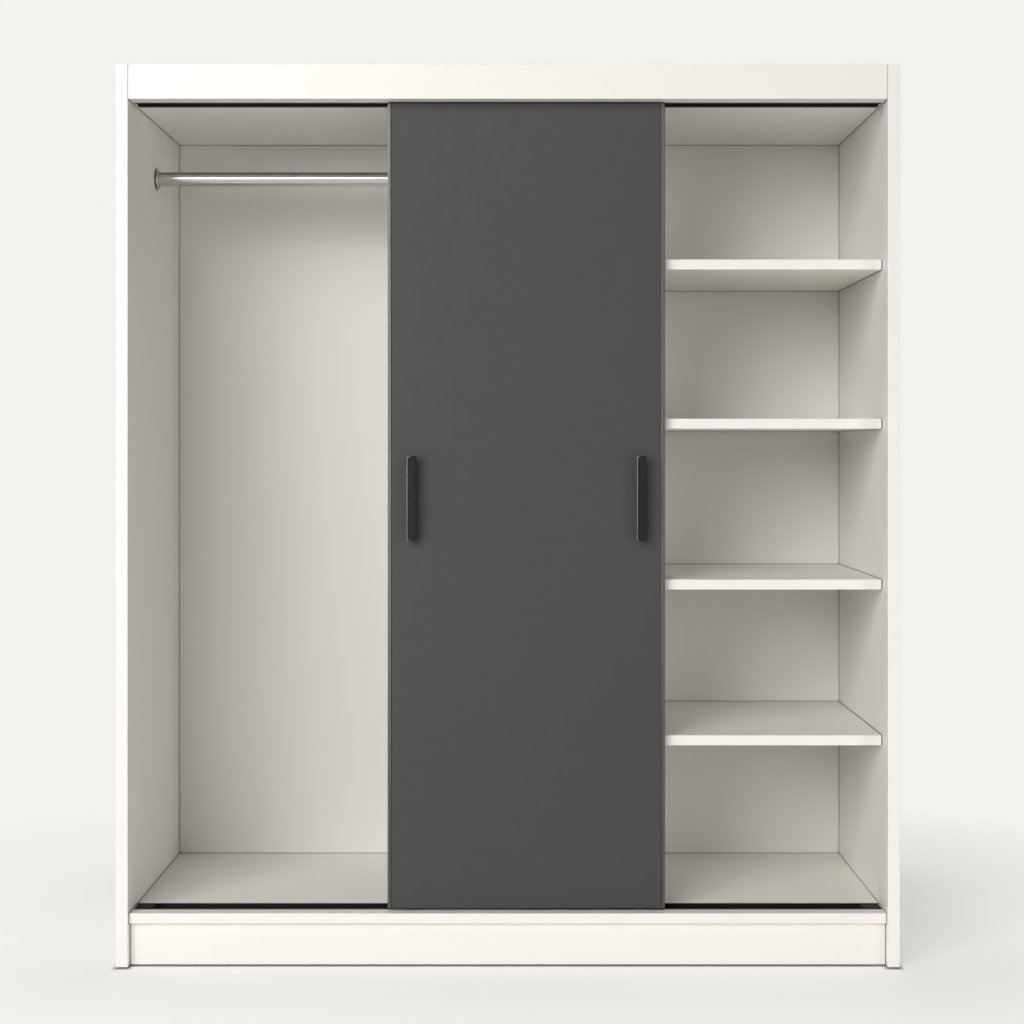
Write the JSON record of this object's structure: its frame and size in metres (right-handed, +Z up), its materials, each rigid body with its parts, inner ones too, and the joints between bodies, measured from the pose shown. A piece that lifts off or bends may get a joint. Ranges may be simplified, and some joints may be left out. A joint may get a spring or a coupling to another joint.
{
  "type": "sliding door wardrobe",
  "caption": "Free-standing wardrobe with a sliding door on sunken tracks, a hanging bay with a clothes rail, and a bay of shelves beside it.",
  "frame": {"origin": "middle of the footprint, on the floor", "axes": "+X to the right as seen from the front, +Y to the rear, +Z up; the door faces -Y"},
  "size_m": [1.82, 0.62, 2.1],
  "materials": {
    "white_board": "white melamine on particle board, satin",
    "back_board": "white lacquered fibreboard, matt",
    "raw_wood": "bare beech and pine",
    "door_board": "dark grey melamine on particle board, silk matt",
    "black_aluminium": "black anodised, satin",
    "black_lacquer": "black powder coat, satin",
    "black_zinc": "black zinc plate",
    "polished_steel": "polished steel",
    "zinc_steel": "zinc plate",
    "bright_steel": "nickel plate",
    "nylon": "white nylon",
    "black_plastic": "black moulded plastic"
  },
  "bodies": {
    "carcass": {"side_panel_left": "white_board", "side_panel_right": "white_board", "top_panel": "white_board", "bottom_panel": "white_board", "partition": "white_board", "top_fascia": "white_board", "front_plinth": "white_board", "rear_plinth": "white_board", "plinth_braces": "white_board", "shelf_1": "white_board", "shelf_2": "white_board", "shelf_3": "white_board", "shelf_4": "white_board", "back_panel_left": "back_board", "back_panel_right": "back_board", "plinth_blocks": "raw_wood", "panel_dowels": "raw_wood", "top_track": "black_aluminium", "bottom_track": "black_aluminium", "track_screws": "black_zinc", "clothes_rail": "polished_steel", "rail_flange_left": "polished_steel", "rail_flange_right": "polished_steel", "fascia_brackets": "zinc_steel", "fascia_screws": "zinc_steel", "plinth_screws": "zinc_steel", "rail_screws": "zinc_steel", "cam_locks": "zinc_steel", "cam_bolts": "zinc_steel", "partition_screws": "zinc_steel", "back_nails": "zinc_steel", "wall_brackets": "zinc_steel", "wall_bracket_screws": "zinc_steel", "shelf_pins": "bright_steel", "floor_glides": "black_plastic", "track_stops": "black_plastic"},
    "door": {"door_panel": "door_board", "door_edge_left": "black_aluminium", "door_edge_right": "black_aluminium", "handle_left": "black_lacquer", "handle_right": "black_lacquer", "handle_screws": "zinc_steel", "roller_brackets": "zinc_steel", "roller_carriers": "zinc_steel", "adjuster_screws": "bright_steel", "roller_axles": "bright_steel", "bracket_screws": "zinc_steel", "guide_housings": "black_plastic", "guide_screws": "zinc_steel", "guide_spring_left": "bright_steel", "guide_spring_right": "bright_steel"},
    "roller_left": {"roller_wheel_left": "nylon", "roller_bearing_left": "bright_steel"},
    "roller_right": {"roller_wheel_right": "nylon", "roller_bearing_right": "bright_steel"},
    "plunger_left": {"guide_plunger_left": "nylon"},
    "plunger_right": {"guide_plunger_right": "nylon"},
    "guide_left": {"guide_wheel_left": "black_plastic"},
    "guide_right": {"guide_wheel_right": "black_plastic"}
  },
  "joints": [
    {"name": "door_slide", "type": "slide", "parent": "carcass", "child": "door", "axis": [1, 0, 0], "range_m": [-0.597, 0.511]},
    {"name": "roller_left_spin", "type": "hinge", "parent": "door", "child": "roller_left", "pos_m": [-0.222, -0.239, 0.1363], "axis": [0, 1, 0], "continuous": true},
    {"name": "plunger_left_slide", "type": "slide", "parent": "door", "child": "plunger_left", "axis": [0, 0, 1], "range_m": [-0.01, 0], "stiffness_N_per_m": 400, "springref_m": 0.008, "deforming": ["guide_spring_left"]},
    {"name": "guide_left_spin", "type": "hinge", "parent": "plunger_left", "child": "guide_left", "pos_m": [-0.222, -0.239, 2.0243], "axis": [0, 0, 1], "continuous": true},
    {"name": "roller_right_spin", "type": "hinge", "parent": "door", "child": "roller_right", "pos_m": [0.308, -0.239, 0.1363], "axis": [0, 1, 0], "continuous": true},
    {"name": "plunger_right_slide", "type": "slide", "parent": "door", "child": "plunger_right", "axis": [0, 0, 1], "range_m": [-0.01, 0], "stiffness_N_per_m": 400, "springref_m": 0.008, "deforming": ["guide_spring_right"]},
    {"name": "guide_right_spin", "type": "hinge", "parent": "plunger_right", "child": "guide_right", "pos_m": [0.308, -0.239, 2.0243], "axis": [0, 0, 1], "continuous": true}
  ],
  "couplings": [
    {"joint": "roller_left_spin", "follows": "door_slide", "rad_per_m": 71.429},
    {"joint": "guide_left_spin", "follows": "door_slide", "rad_per_m": 100},
    {"joint": "roller_right_spin", "follows": "door_slide", "rad_per_m": 71.429},
    {"joint": "guide_right_spin", "follows": "door_slide", "rad_per_m": 100}
  ]
}
